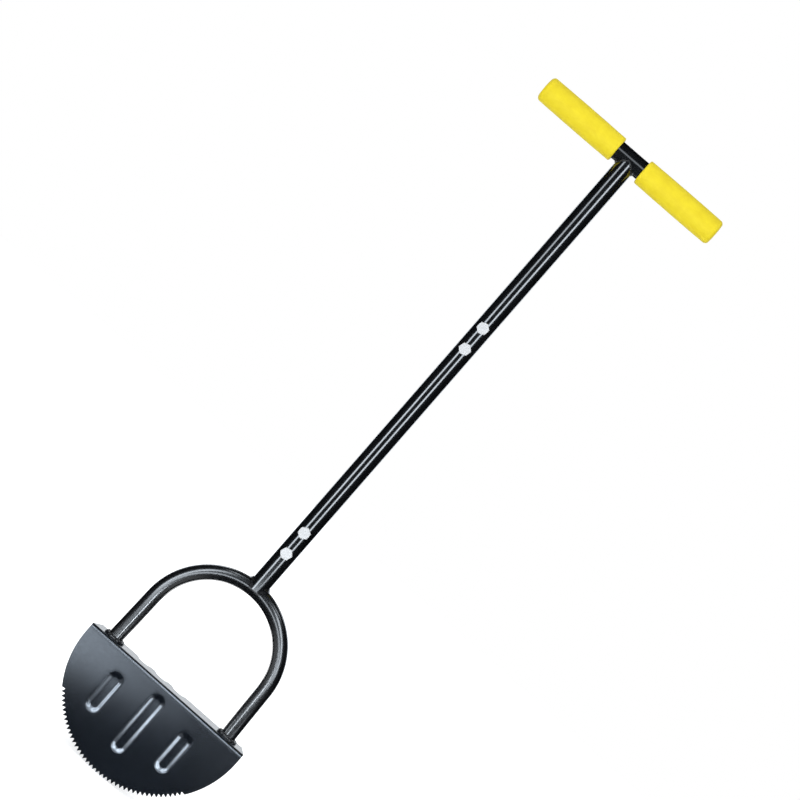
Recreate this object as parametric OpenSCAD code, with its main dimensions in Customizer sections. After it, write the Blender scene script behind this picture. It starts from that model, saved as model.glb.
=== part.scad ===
// Half moon edger: a half round saw-toothed blade with a folded foot plate, carried by a bent
// tube bow on a shaft of three bolted tubes, with a foam gripped crossbar on top.
// Millimetres. +Z runs up the shaft, +X along the crossbar, and the blade's front faces -Y.
// The origin lies on the shaft's axis, level with the lowest tooth tips.

/* [Blade] */
// Radius of the half round cutting edge, measured to the tooth tips
blade_radius = 121; // [112:1:150]
// Height of the straight sided band between the half round and the foot plate
blade_band = 13; // [10:1:40]
// Thickness of the sheet steel
sheet = 2; // [1.5:0.1:3]
// Inside radius of the fold between the blade and the foot plate
fold_radius = 2; // [1:0.5:4]

/* [Saw teeth] */
// Distance from tip to tip along the cutting edge
tooth_pitch = 5.8; // [4:0.1:9]
// Depth of the notch between two teeth
tooth_depth = 4; // [2:0.1:6]
// Part of the half round that carries teeth, in degrees
tooth_arc = 110; // [60:1:130]
// Width of the blunt land on each tip
tooth_tip = 0.5; // [0.2:0.1:1]
// Width of the flat at the root of each notch
tooth_root = 0.8; // [0.4:0.1:1.5]

/* [Pressed ribs] */
// Width of each rib at the front face
rib_width = 20; // [14:1:24]
// Width of the rib's flat floor
rib_floor = 10; // [6:1:12]
// Depth that the ribs are pressed towards the rear
rib_depth = 3; // [2:0.5:4]
// Length of the middle rib
middle_rib_length = 88; // [50:1:92]
// Distance from the foot plate down to the middle rib
middle_rib_drop = 12; // [8:1:30]
// Length of the two side ribs
side_rib_length = 58; // [35:1:66]
// Distance from the foot plate down to the side ribs
side_rib_drop = 25; // [10:1:35]
// Distance of each side rib from the middle
side_rib_offset = 55.5; // [35:0.5:70]

/* [Foot plate] */
// Depth of the folded foot plate, from the blade's front to the plate's rear edge
plate_depth = 45; // [40:1:70]
// How much each end of the plate narrows towards the rear edge
plate_taper = 8; // [0:0.5:10]
// Number of scallops in the rear edge
scallop_count = 3; // [1:1:4]
// Distance from one scallop to the next
scallop_pitch = 28; // [25:0.5:34]
// Distance of the row's middle from the blade's middle, negative to the left
scallop_offset = -17.5; // [-25:0.5:25]
// Depth of each scallop
scallop_depth = 13; // [11:0.5:14]
// Radius of each scallop's round floor
scallop_floor = 8.5; // [7:0.5:9]
// Width of each scallop at the edge, across its flared lips
scallop_mouth = 22.5; // [20:0.5:24]
// Angle at which the lips open towards the edge
scallop_flare = 27; // [22:1:35]

/* [Bow] */
// Diameter of the bow's tube
bow_diameter = 19.5; // [16:0.5:22]
// Wall of the bow's tube
bow_wall = 1.5; // [1:0.1:2.5]
// Distance from each end of the blade in to the middle of the leg that stands on it
leg_inset = 30; // [24:0.5:50]
// Height of the bend's centre above the foot plate
bow_rise = 68.5; // [30:0.5:120]
// Angle by which each leg leans outwards
leg_splay = 2; // [0:0.5:4]

/* [Shaft] */
// Diameter of the shaft's tubes
shaft_diameter = 25; // [22:0.5:32]
// Wall of the shaft's tubes
shaft_wall = 1.2; // [1:0.1:2]
// Length of the stub from the middle of the bow's tube up to the lower seam
stub_length = 76; // [65:0.5:150]
// Length of the middle tube, from seam to seam
middle_length = 327.5; // [150:0.5:500]
// Length of the upper tube, from the upper seam to the crossbar's axis
upper_length = 285.5; // [100:0.5:400]
// Half width of the tongue with which the stub laps the bow, at its tip
tongue_tip = 6; // [4:0.5:8]

/* [Bolted joints] */
// Distance between the two bolts of a joint, one on each side of the seam
bolt_spacing = 33; // [24:0.5:50]
// Length of the sleeve inside each joint
sleeve_length = 90; // [70:1:130]
// Wall of the sleeve
sleeve_wall = 1.5; // [1:0.1:3]
// Clearance between the sleeve and the tube around it
sleeve_fit = 0.15; // [0.05:0.05:0.4]
// Diameter of the bolts
bolt_diameter = 8; // [6:1:10]
// Clearance around each bolt in its holes
bolt_fit = 0.25; // [0.1:0.05:0.5]
// Clearance between a bolt and the bore of its nut
thread_fit = 0.05; // [0.02:0.01:0.1]
// Size across the flats of the bolt heads and nuts
hex_flats = 14; // [12:0.5:17]
// Angle at which each bolt head stopped when it was tightened, from the lowest bolt upwards
head_turns = [11, 30, 16, 22]; // [0:1:59]
// Height of the bolt heads
head_height = 5.3; // [4:0.1:6.5]
// Height of the nuts
nut_height = 6.5; // [5:0.1:8]
// Length of bolt that stands out of its nut
bolt_tail = 3.5; // [1:0.5:8]
// Chamfer at the end of each bolt
bolt_chamfer = 0.8; // [0.2:0.1:1]

/* [Crossbar and grips] */
// Diameter of the crossbar
crossbar_diameter = 25; // [22:0.5:32]
// Wall of the crossbar
crossbar_wall = 1.2; // [1:0.1:2]
// Bare length of crossbar between the grips
grip_gap = 40; // [36:1:80]
// Length of each grip
grip_length = 116; // [90:1:150]
// Diameter of each grip
grip_diameter = 35; // [34:0.5:44]
// Thickness of the closed end of each grip
grip_end = 6; // [4:0.5:12]
// Radius of the rounded outer rim of each grip
grip_round = 5; // [2:0.5:8]
// Clearance between a grip and the crossbar
grip_fit = 0.1; // [0.05:0.05:0.3]

/* [Welds] */
// Size of the bead around the foot of each leg
leg_bead = 4.5; // [2:0.5:6]
// Size of the bead between the stub and the bow
stub_bead = 2; // [1:0.5:3]
// Height and width of the flare of that bead at the stub's two sides
stub_flare = 3.5; // [2:0.5:5]
// Size of the bead between the upper tube and the crossbar
crossbar_bead = 1.2; // [0.8:0.2:2]

/* [Hidden] */

$fn = 96;
// How far a cutting shape runs past the face that it cuts
overcut = 1;

// Heights along the shaft
plate_top = blade_radius + blade_band;
bow_radius = (blade_radius - leg_inset - bow_rise * tan(leg_splay)) * cos(leg_splay);
bow_centre = plate_top + bow_rise;
bow_axis = bow_centre + bow_radius;
lower_seam = bow_axis + stub_length;
upper_seam = lower_seam + middle_length;
crossbar_axis = upper_seam + upper_length;

// Blade and foot plate
blade_front = -plate_depth / 2;
fold_outside = fold_radius + sheet;
notch_count = floor(tooth_arc * PI / 180 * blade_radius / tooth_pitch);
notch_angle = tooth_pitch / blade_radius * 180 / PI;
notch_mouth = tooth_pitch - tooth_tip;
scallop_centre = scallop_depth - scallop_floor;

// Bow
bow_outside = bow_diameter / 2;
bow_inside = bow_outside - bow_wall;
leg_drop = bow_rise + bow_radius * sin(leg_splay);
leg_foot_x = blade_radius - leg_inset;
leg_reach = leg_drop / cos(leg_splay) + bow_diameter;

// Shaft
shaft_outside = shaft_diameter / 2;
shaft_inside = shaft_outside - shaft_wall;
sleeve_outside = shaft_inside - sleeve_fit;
bolt_length = shaft_diameter + nut_height + bolt_tail;
hex_corner = hex_flats / 2 / cos(30);

// Crossbar and grips
crossbar_outside = crossbar_diameter / 2;
crossbar_length = grip_gap + 2 * (grip_length - grip_end);

module on_xz(depth) {
    // Stands a flat outline up in the XZ plane, as deep as asked on each side of the shaft's axis
    rotate([90, 0, 0]) linear_extrude(height = depth, center = true) children();
}

// Blade

module tooth_notch() {
    // One notch, hanging below the centre of the half round
    widening = (notch_mouth - tooth_root) / 2 / tooth_depth;
    outer = notch_mouth / 2 + widening * overcut;
    polygon([
        [-outer, -blade_radius - overcut], [outer, -blade_radius - overcut],
        [tooth_root / 2, tooth_depth - blade_radius], [-tooth_root / 2, tooth_depth - blade_radius]
    ]);
}

module blade_outline() {
    // The blade seen from the front: half round, straight band and saw teeth
    difference() {
        union() {
            intersection() {
                translate([0, blade_radius]) circle(r = blade_radius);
                translate([-blade_radius, 0]) square([2 * blade_radius, blade_radius]);
            }
            translate([-blade_radius, blade_radius]) square([2 * blade_radius, blade_band]);
        }
        translate([0, blade_radius])
            for (i = [0 : notch_count - 1])
                rotate((i - (notch_count - 1) / 2) * notch_angle) tooth_notch();
    }
}

module scallop() {
    // One scallop, opening upwards at the origin: a round floor with flared lips
    lip_depth = scallop_centre + scallop_floor / 2;
    outer = scallop_mouth / 2 + overcut * tan(scallop_flare);
    inner = scallop_mouth / 2 - lip_depth * tan(scallop_flare);
    translate([0, -scallop_centre]) circle(r = scallop_floor);
    polygon([[-outer, overcut], [-inner, -lip_depth], [inner, -lip_depth], [outer, overcut]]);
}

module plate_outline() {
    // The foot plate seen from above, with its tapered ends and scalloped rear edge
    difference() {
        polygon([
            [-blade_radius, blade_front], [blade_radius, blade_front],
            [blade_radius, blade_front + fold_outside], [blade_radius - plate_taper, -blade_front],
            [plate_taper - blade_radius, -blade_front], [-blade_radius, blade_front + fold_outside]
        ]);
        for (i = [0 : scallop_count - 1])
            translate([scallop_offset + (i - (scallop_count - 1) / 2) * scallop_pitch, -blade_front]) scallop();
    }
}

module folded_sheet() {
    // The bent sheet seen from the end: blade, round fold and foot plate
    rotate([90, 0, 90]) linear_extrude(height = 2 * blade_radius, center = true) {
        translate([blade_front, 0]) square([sheet, plate_top - fold_outside]);
        translate([blade_front + fold_outside, plate_top - sheet]) square([plate_depth - fold_outside, sheet]);
        translate([blade_front + fold_outside, plate_top - fold_outside]) intersection() {
            difference() {
                circle(r = fold_outside);
                circle(r = fold_radius);
            }
            translate([-fold_outside, 0]) square(fold_outside);
        }
    }
}

module rib_form(length) {
    // A pressed rib with sloped walls and round ends, from its lower end upwards, wide side in front
    straight = length - rib_width;
    translate([0, 0, rib_width / 2]) {
        for (end = [0, straight])
            translate([0, 0, end]) rotate([-90, 0, 0]) cylinder(h = rib_depth, d1 = rib_width, d2 = rib_floor);
        linear_extrude(height = straight) polygon([
            [-rib_width / 2, 0], [rib_width / 2, 0], [rib_floor / 2, rib_depth], [-rib_floor / 2, rib_depth]
        ]);
    }
}

module ribs() {
    translate([0, blade_front, plate_top - middle_rib_drop - middle_rib_length]) rib_form(middle_rib_length);
    for (side = [-1, 1])
        translate([side * side_rib_offset, blade_front, plate_top - side_rib_drop - side_rib_length])
            rib_form(side_rib_length);
}

module blade() {
    color("#30323a") difference() {
        union() {
            intersection() {
                folded_sheet();
                on_xz(2 * plate_depth) blade_outline();
                linear_extrude(height = plate_top) plate_outline();
            }
            translate([0, sheet, 0]) ribs();
        }
        ribs();
    }
}

// Bow and its welds

module bow_ring(radius) {
    // The bow's bend carried on all the way round, as a solid ring
    translate([0, 0, bow_centre]) rotate([90, 0, 0]) rotate_extrude()
        translate([bow_radius, 0]) circle(r = radius);
}

module leaning() {
    // The axes of the right leg: X out from the bend's centre to the leg, Y up along the leg
    translate([0, 0, bow_centre]) rotate([90, 0, 0]) rotate([0, 0, leg_splay]) children();
}

module leg_rod(radius) {
    translate([bow_radius, 0, 0]) rotate([90, 0, 0]) cylinder(h = leg_reach, r = radius);
}

module bow_half() {
    // The right half of the bow: one leg and its part of the bend, cut off level on the foot plate
    intersection() {
        leaning() difference() {
            union() {
                rotate_extrude(angle = 90) translate([bow_radius, 0]) circle(r = bow_outside);
                leg_rod(bow_outside);
            }
            rotate_extrude(angle = 90) translate([bow_radius, 0]) circle(r = bow_inside);
            leg_rod(bow_inside);
        }
        translate([0, -bow_diameter, plate_top])
            cube([2 * bow_radius, 2 * bow_diameter, bow_rise + 2 * bow_radius]);
    }
}

module bow_tube() {
    color("#1b1c1f") {
        bow_half();
        mirror([1, 0, 0]) bow_half();
    }
}

module leg_weld() {
    // A round bead in the corner between the right leg and the foot plate
    color("#232427") difference() {
        translate([leg_foot_x, 0, plate_top]) rotate_extrude() translate([bow_outside, 0]) intersection() {
            circle(r = leg_bead);
            translate([-leg_bead, 0]) square([2 * leg_bead, leg_bead]);
        }
        leaning() leg_rod(bow_outside);
    }
}

module left_leg_weld() {
    mirror([1, 0, 0]) leg_weld();
}

module right_leg_weld() {
    leg_weld();
}

// Stub and its weld

module tongue_outline(grow) {
    // The stub seen from the front, with the tongue that laps the bow at its lower end
    shoulder = bow_axis + bow_outside;
    half = shaft_outside + grow;
    tip = tongue_tip + grow;
    polygon([
        [-tip, bow_axis - grow], [tip, bow_axis - grow], [half, shoulder],
        [half, lower_seam], [-half, lower_seam], [-half, shoulder]
    ]);
}

module stub_solid() {
    intersection() {
        translate([0, 0, bow_centre]) cylinder(h = lower_seam - bow_centre, r = shaft_outside);
        on_xz(4 * shaft_outside) tongue_outline(0);
    }
}

module stub_tube() {
    color("#1b1c1f") difference() {
        stub_solid();
        bow_ring(bow_outside);
        translate([0, 0, bow_axis + bow_outside + shaft_wall])
            cylinder(h = stub_length, r = shaft_inside);
        bolt_hole(lower_seam - bolt_spacing / 2);
    }
}

module stub_weld() {
    // A bead on the bow that follows the edge of the stub's tongue, and flares up the stub's sides
    flare_reach = shaft_outside + stub_flare;
    flare_foot = sqrt(pow(bow_radius + bow_outside, 2) - pow(flare_reach, 2));
    flare_rise = bow_radius + bow_outside + stub_flare - flare_foot;
    color("#232427") difference() {
        union() {
            intersection() {
                bow_ring(bow_outside + stub_bead);
                on_xz(4 * shaft_outside) tongue_outline(stub_bead);
                translate([0, 0, bow_centre]) cylinder(h = 2 * bow_radius, r = shaft_outside + stub_bead);
            }
            intersection() {
                bow_ring(bow_outside + stub_flare);
                translate([0, 0, bow_centre + flare_foot])
                    cylinder(h = flare_rise, r1 = flare_reach, r2 = shaft_outside);
            }
        }
        stub_solid();
        bow_ring(bow_outside);
    }
}

// Shaft tubes, sleeves and bolts

module bolt_hole(height) {
    // A hole right through the shaft, from front to back
    translate([0, 0, height]) rotate([90, 0, 0])
        cylinder(h = 2 * shaft_diameter, r = bolt_diameter / 2 + bolt_fit, center = true);
}

module joint_holes(seam) {
    for (step = [-1, 1])
        bolt_hole(seam + step * bolt_spacing / 2);
}

module shaft_pipe(from, to) {
    translate([0, 0, from]) difference() {
        cylinder(h = to - from, r = shaft_outside);
        translate([0, 0, -overcut]) cylinder(h = to - from + 2 * overcut, r = shaft_inside);
    }
}

module middle_tube() {
    color("#1b1c1f") difference() {
        shaft_pipe(lower_seam, upper_seam);
        bolt_hole(lower_seam + bolt_spacing / 2);
        bolt_hole(upper_seam - bolt_spacing / 2);
    }
}

module upper_tube() {
    color("#1b1c1f") difference() {
        shaft_pipe(upper_seam, crossbar_axis);
        crossbar_solid(crossbar_outside, grip_gap);
        bolt_hole(upper_seam + bolt_spacing / 2);
    }
}

module sleeve(seam) {
    color("#3a3b3e") difference() {
        translate([0, 0, seam]) difference() {
            cylinder(h = sleeve_length, r = sleeve_outside, center = true);
            cylinder(h = sleeve_length + 2 * overcut, r = sleeve_outside - sleeve_wall, center = true);
        }
        joint_holes(seam);
    }
}

module lower_sleeve() {
    sleeve(lower_seam);
}

module upper_sleeve() {
    sleeve(upper_seam);
}

module hexagon_head(height) {
    // A hexagon with its outer corners turned off, standing on the XY plane
    intersection() {
        cylinder(h = height, r = hex_corner, $fn = 6);
        cylinder(h = height, r1 = hex_flats / 2 + height, r2 = hex_flats / 2);
    }
}

module bolt(turn) {
    // One bolt lying along Y, its head bearing on the front of the shaft
    rotate([90, 0, 0]) {
        translate([0, 0, shaft_outside]) rotate(turn) hexagon_head(head_height);
        translate([0, 0, shaft_outside - bolt_length]) {
            cylinder(h = bolt_chamfer, d1 = bolt_diameter - 2 * bolt_chamfer, d2 = bolt_diameter);
            translate([0, 0, bolt_chamfer]) cylinder(h = bolt_length - bolt_chamfer, d = bolt_diameter);
        }
    }
}

module nut(turn) {
    // One nut bearing on the back of the shaft
    rotate([-90, 0, 0]) translate([0, 0, shaft_outside]) difference() {
        rotate(turn) hexagon_head(nut_height);
        translate([0, 0, -overcut])
            cylinder(h = nut_height + 2 * overcut, r = bolt_diameter / 2 + thread_fit);
    }
}

module joint_bolts(seam, first) {
    // The two bolts of a joint, the lower one at place "first" in the row of turns
    color("#d8dadd") for (i = [0, 1])
        translate([0, 0, seam + (i - 0.5) * bolt_spacing]) bolt(head_turns[first + i]);
}

module joint_nuts(seam, first) {
    // The nuts stopped at other angles than their bolts: the row of turns read backwards
    color("#d8dadd") for (i = [0, 1])
        translate([0, 0, seam + (i - 0.5) * bolt_spacing]) nut(head_turns[len(head_turns) - 1 - first - i]);
}

module lower_joint_bolts() {
    joint_bolts(lower_seam, 0);
}

module lower_joint_nuts() {
    joint_nuts(lower_seam, 0);
}

module upper_joint_bolts() {
    joint_bolts(upper_seam, 2);
}

module upper_joint_nuts() {
    joint_nuts(upper_seam, 2);
}

// Crossbar, its weld and the grips

module crossbar_solid(radius, length) {
    translate([0, 0, crossbar_axis]) rotate([0, 90, 0]) cylinder(h = length, r = radius, center = true);
}

module crossbar() {
    color("#1b1c1f") difference() {
        crossbar_solid(crossbar_outside, crossbar_length);
        crossbar_solid(crossbar_outside - crossbar_wall, crossbar_length + 2 * overcut);
    }
}

module crossbar_weld() {
    // A thin bead along the line where the upper tube meets the crossbar
    color("#232427") difference() {
        intersection() {
            crossbar_solid(crossbar_outside + crossbar_bead, grip_gap);
            translate([0, 0, upper_seam]) cylinder(h = upper_length, r = shaft_outside + crossbar_bead);
        }
        crossbar_solid(crossbar_outside, grip_gap + 2 * overcut);
        translate([0, 0, upper_seam]) cylinder(h = upper_length + overcut, r = shaft_outside);
    }
}

module grip_profile() {
    // Half of a grip cut along its axis: open at the bottom, closed and rounded at the top
    difference() {
        union() {
            square([grip_diameter / 2 - grip_round, grip_length]);
            square([grip_diameter / 2, grip_length - grip_round]);
            translate([grip_diameter / 2 - grip_round, grip_length - grip_round]) circle(r = grip_round);
        }
        translate([0, -overcut]) square([crossbar_outside + grip_fit, grip_length - grip_end + overcut]);
    }
}

module grip(side) {
    color("#f5dc28") translate([side * grip_gap / 2, 0, crossbar_axis])
        rotate([0, side * 90, 0]) rotate_extrude() grip_profile();
}

module left_grip() {
    grip(-1);
}

module right_grip() {
    grip(1);
}

blade();
left_leg_weld();
right_leg_weld();
bow_tube();
stub_weld();
stub_tube();
lower_sleeve();
lower_joint_bolts();
lower_joint_nuts();
middle_tube();
upper_sleeve();
upper_joint_bolts();
upper_joint_nuts();
upper_tube();
crossbar_weld();
crossbar();
left_grip();
right_grip();
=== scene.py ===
# %% [markdown]
# # A half moon edger
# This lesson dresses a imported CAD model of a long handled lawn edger: a saw-toothed half round
# blade, a bent tube bow, a bolted tube shaft and a crossbar with two foam grips. The CAD pieces
# are the fixed frame. Tubes, bolts and the stub's weld keep their CAD shapes and only get a finish.
# The pressed blade, the weld beads, the bolt threads and the soft grips are made here, in the same
# frame.

# %% Load the frame
import math

import bpy
import numpy as np
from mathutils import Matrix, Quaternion, Vector, noise
from mathutils.geometry import delaunay_2d_cdt


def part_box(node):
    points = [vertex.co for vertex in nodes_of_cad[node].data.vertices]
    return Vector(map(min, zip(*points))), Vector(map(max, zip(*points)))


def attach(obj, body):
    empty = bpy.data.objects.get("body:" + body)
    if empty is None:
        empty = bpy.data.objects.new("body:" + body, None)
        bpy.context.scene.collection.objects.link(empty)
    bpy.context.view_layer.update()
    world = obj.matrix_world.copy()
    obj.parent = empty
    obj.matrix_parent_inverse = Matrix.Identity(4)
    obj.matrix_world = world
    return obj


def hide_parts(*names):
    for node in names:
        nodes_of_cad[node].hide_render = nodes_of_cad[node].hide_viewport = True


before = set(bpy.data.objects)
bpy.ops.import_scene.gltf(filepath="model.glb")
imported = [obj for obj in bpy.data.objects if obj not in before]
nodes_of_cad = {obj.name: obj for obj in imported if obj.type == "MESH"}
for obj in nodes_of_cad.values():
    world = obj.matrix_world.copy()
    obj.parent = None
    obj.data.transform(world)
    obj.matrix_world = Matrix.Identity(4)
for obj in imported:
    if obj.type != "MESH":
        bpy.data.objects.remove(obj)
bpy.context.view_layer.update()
scene = bpy.context.scene

# %% [markdown]
# ## Camera
# The photograph shows the tool nearly straight from the front, a little from above, and leaning
# to the right. The model stands upright in its own frame, so the camera rolls instead of the
# tool. A long lens far away keeps the tubes parallel. The aim point and the width of the field
# come from measuring the crossbar, the bolts and the blade in the picture.

# %% Camera
VIEW_AZIMUTH = math.radians(2.7)
VIEW_ELEVATION = math.radians(1.6)
VIEW_ROLL = math.radians(41.1)
AIM = Vector((-0.0194, 0.0, 0.5801))
FIELD_WIDTH = 0.9675
LENS = 150.0
SENSOR = 36.0

camera_data = bpy.data.cameras.new("photo_camera")
camera_data.lens = LENS
camera_data.sensor_width = SENSOR
camera = bpy.data.objects.new("photo_camera", camera_data)
scene.collection.objects.link(camera)
towards_camera = Vector((
    math.sin(VIEW_AZIMUTH) * math.cos(VIEW_ELEVATION),
    -math.cos(VIEW_AZIMUTH) * math.cos(VIEW_ELEVATION),
    math.sin(VIEW_ELEVATION),
))
camera.location = AIM + towards_camera * (FIELD_WIDTH * LENS / SENSOR)
camera.rotation_mode = "QUATERNION"
upright = (-towards_camera).to_track_quat("-Z", "Y")
camera.rotation_quaternion = upright @ Quaternion((0.0, 0.0, 1.0), VIEW_ROLL)
scene.camera = camera
scene.view_settings.view_transform = "Standard"
print("camera stands", round((camera.location - AIM).length, 2), "m away")

# %% [markdown]
# ## Floor and backdrop
# A white studio could be a curved sheet, or a white world with a floor. The world is simpler and
# shows no edge from any side. The floor mixes its own glow with real shade, so it is white but
# keeps the tool's soft shadow. Dark cloths out of the camera's sight keep the black gloss dark, as
# in a studio. They leave two openings behind the tool: one at the foot of the wall, where the foot
# plate mirrors the white background, and one in the floor cloth, for the back of the blade. A
# narrow runner across that one keeps its light off the underside of the crossbar. Two grey mats in
# front, left and right of the camera's line, give the blade a soft sheen when it is seen from a side.

# %% White world
WORLD_AMBIENT = 0.70


def seen_directly(tree):
    """One for rays from the camera, off a gloss or through glass, and zero for plain lighting."""
    path = tree.nodes.new("ShaderNodeLightPath").outputs
    seen = path["Is Camera Ray"]
    for kind in ("Is Glossy Ray", "Is Transmission Ray"):
        either = tree.nodes.new("ShaderNodeMath")
        either.operation = "MAXIMUM"
        tree.links.new(seen, either.inputs[0])
        tree.links.new(path[kind], either.inputs[1])
        seen = either.outputs[0]
    return seen


world = bpy.data.worlds.new("studio_world")
scene.world = world
world.use_nodes = True
tree = world.node_tree
tree.nodes.clear()
ambient = tree.nodes.new("ShaderNodeBackground")
ambient.inputs["Strength"].default_value = WORLD_AMBIENT
white = tree.nodes.new("ShaderNodeBackground")
white.inputs["Color"].default_value = (1.0, 1.0, 1.0, 1.0)
mix = tree.nodes.new("ShaderNodeMixShader")
output = tree.nodes.new("ShaderNodeOutputWorld")
tree.links.new(seen_directly(tree), mix.inputs[0])
tree.links.new(ambient.outputs[0], mix.inputs[1])
tree.links.new(white.outputs[0], mix.inputs[2])
tree.links.new(mix.outputs[0], output.inputs["Surface"])
print("white world, ambient", WORLD_AMBIENT)

# %% Floor
FLOOR_RADIUS = 6.0
FLOOR_COLOUR = 0.8
GLOW_NEAR = 0.45
GLOW_REACH = 0.35
RIM_STEPS = 72


def ring_points(radius, height):
    turns = np.linspace(0.0, 2.0 * math.pi, RIM_STEPS, endpoint=False)
    return [(radius * math.sin(t), -radius * math.cos(t), height) for t in turns]


def stage_mesh(name, points, faces, material):
    mesh = bpy.data.meshes.new(name)
    mesh.from_pydata(points, [], faces)
    mesh.materials.append(material)
    piece = bpy.data.objects.new(name, mesh)
    scene.collection.objects.link(piece)
    return piece


floor_paint = bpy.data.materials.new("floor_paint")
floor_paint.use_nodes = True
tree = floor_paint.node_tree
tree.nodes.clear()
place = tree.nodes.new("ShaderNodeTexCoord")
away = tree.nodes.new("ShaderNodeVectorMath")
away.operation = "LENGTH"
growing = tree.nodes.new("ShaderNodeMapRange")
growing.inputs["From Max"].default_value = GLOW_REACH
growing.inputs["To Min"].default_value = GLOW_NEAR
glow = tree.nodes.new("ShaderNodeEmission")
shade = tree.nodes.new("ShaderNodeBsdfDiffuse")
shade.inputs["Color"].default_value = (FLOOR_COLOUR, FLOOR_COLOUR, FLOOR_COLOUR, 1.0)
both = tree.nodes.new("ShaderNodeAddShader")
strength = tree.nodes.new("ShaderNodeMath")
strength.operation = "MULTIPLY"
output = tree.nodes.new("ShaderNodeOutputMaterial")
tree.links.new(place.outputs["Object"], away.inputs[0])
tree.links.new(away.outputs["Value"], growing.inputs["Value"])
tree.links.new(seen_directly(tree), strength.inputs[0])
tree.links.new(growing.outputs["Result"], strength.inputs[1])
tree.links.new(strength.outputs[0], glow.inputs["Strength"])
tree.links.new(glow.outputs[0], both.inputs[0])
tree.links.new(shade.outputs[0], both.inputs[1])
tree.links.new(both.outputs[0], output.inputs["Surface"])
stage_mesh("floor", ring_points(FLOOR_RADIUS, 0.0), [tuple(range(RIM_STEPS))], floor_paint)
print("floor of", FLOOR_RADIUS, "m, white from", GLOW_REACH, "m outwards")

# %% Dark cloths
CLOTH_RADIUS = 2.6
CLOTH_TOP = 3.0
CLOTH_LIFT = 0.002
CLOTH_GREY = 0.004
WALL_OPENING = math.radians(15.0)
WALL_OPENING_TOP = 0.8
FLOOR_OPENING_BEHIND = 0.575
FLOOR_OPENING_SIDEWAYS = 0.5
FLOOR_OPENING_BACKWARDS = 0.375
RUNNER_LEFT = -0.12
RUNNER_RIGHT = 0.02
MAT_INSIDE = 0.13
MAT_OUTSIDE = 0.95
MAT_GREY = 0.28


def plain_cloth(name, grey):
    material = bpy.data.materials.new(name)
    material.use_nodes = True
    shader = material.node_tree.nodes["Principled BSDF"]
    shader.inputs["Base Color"].default_value = (grey, grey, grey, 1.0)
    shader.inputs["Roughness"].default_value = 1.0
    shader.inputs["Specular IOR Level"].default_value = 0.0
    return material


def mat_points(side):
    inside = side * MAT_INSIDE
    outside = side * MAT_OUTSIDE
    return [(x, y, 2.0 * CLOTH_LIFT) for x, y in (
        (inside, 0.0), (inside, -MAT_OUTSIDE), (outside, -MAT_OUTSIDE), (outside, 0.0),
    )]


black_cloth = plain_cloth("black_cloth", CLOTH_GREY)
grey_mat = plain_cloth("grey_mat", MAT_GREY)
bands = []
for i in range(RIM_STEPS):
    following = (i + 1) % RIM_STEPS
    bands.append((i, following, RIM_STEPS + following, RIM_STEPS + i))
wall_foot = []
for x, y, z in ring_points(CLOTH_RADIUS, 0.0):
    from_behind = abs(math.atan2(-x, y) - VIEW_AZIMUTH)
    wall_foot.append((x, y, WALL_OPENING_TOP if from_behind < WALL_OPENING else z))
floor_opening = [
    (FLOOR_OPENING_SIDEWAYS * x, FLOOR_OPENING_BEHIND + FLOOR_OPENING_BACKWARDS * y, z)
    for x, y, z in ring_points(1.0, CLOTH_LIFT)
]
runner = [
    (RUNNER_LEFT, 0.0, CLOTH_LIFT),
    (RUNNER_RIGHT, 0.0, CLOTH_LIFT),
    (RUNNER_RIGHT, 2.0 * FLOOR_OPENING_BEHIND, 2.0 * CLOTH_LIFT),
    (RUNNER_LEFT, 2.0 * FLOOR_OPENING_BEHIND, 2.0 * CLOTH_LIFT),
]
cloth_top = ring_points(CLOTH_RADIUS, CLOTH_TOP)
cloth_rim = ring_points(CLOTH_RADIUS, CLOTH_LIFT)
for cloth in (
    stage_mesh("cloth_wall", wall_foot + cloth_top, bands, black_cloth),
    stage_mesh("cloth_on_floor", cloth_rim + floor_opening, bands, black_cloth),
    stage_mesh("cloth_runner", runner, [(0, 1, 2, 3)], black_cloth),
    stage_mesh("cloth_above", cloth_top, [tuple(range(RIM_STEPS))], black_cloth),
    stage_mesh("mat_left", mat_points(-1.0), [(0, 1, 2, 3)], grey_mat),
    stage_mesh("mat_right", mat_points(1.0), [(0, 1, 2, 3)], grey_mat),
):
    cloth.visible_camera = False
    cloth.visible_diffuse = False
    cloth.visible_transmission = False
    cloth.visible_shadow = False
print("cloths out to", CLOTH_RADIUS, "m")

# %% [markdown]
# ## Lamps
# Black gloss shows its lamps rather than its own colour, so each highlight in the picture asks for
# a lamp where the surface mirrors it. Two upright strips beside the camera draw the two narrow
# lines on the tubes, two panels and two small lamps in front light the bow, and a row of panels that
# fall off to the right shades the blade's face. A ring of small lamps outlines the pressed ribs, and
# one from above draws the line along the fold. The lamps with a narrow beam carry a grid, so that
# they leave the other pieces alone. More lamps light the grips from above and below, the crossbar
# from above, and the back, because the tool is looked at from all sides.

# %% Lamp helper
LAMP_COLOUR = (0.87, 0.935, 1.0)
OPEN_BEAM = 180.0


def direction(azimuth, elevation):
    """Away from the tool; azimuth counts from the camera's own."""
    angle = math.radians(azimuth) + VIEW_AZIMUTH
    rise = math.radians(elevation)
    return Vector((math.sin(angle) * math.cos(rise), -math.cos(angle) * math.cos(rise), math.sin(rise)))


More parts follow.
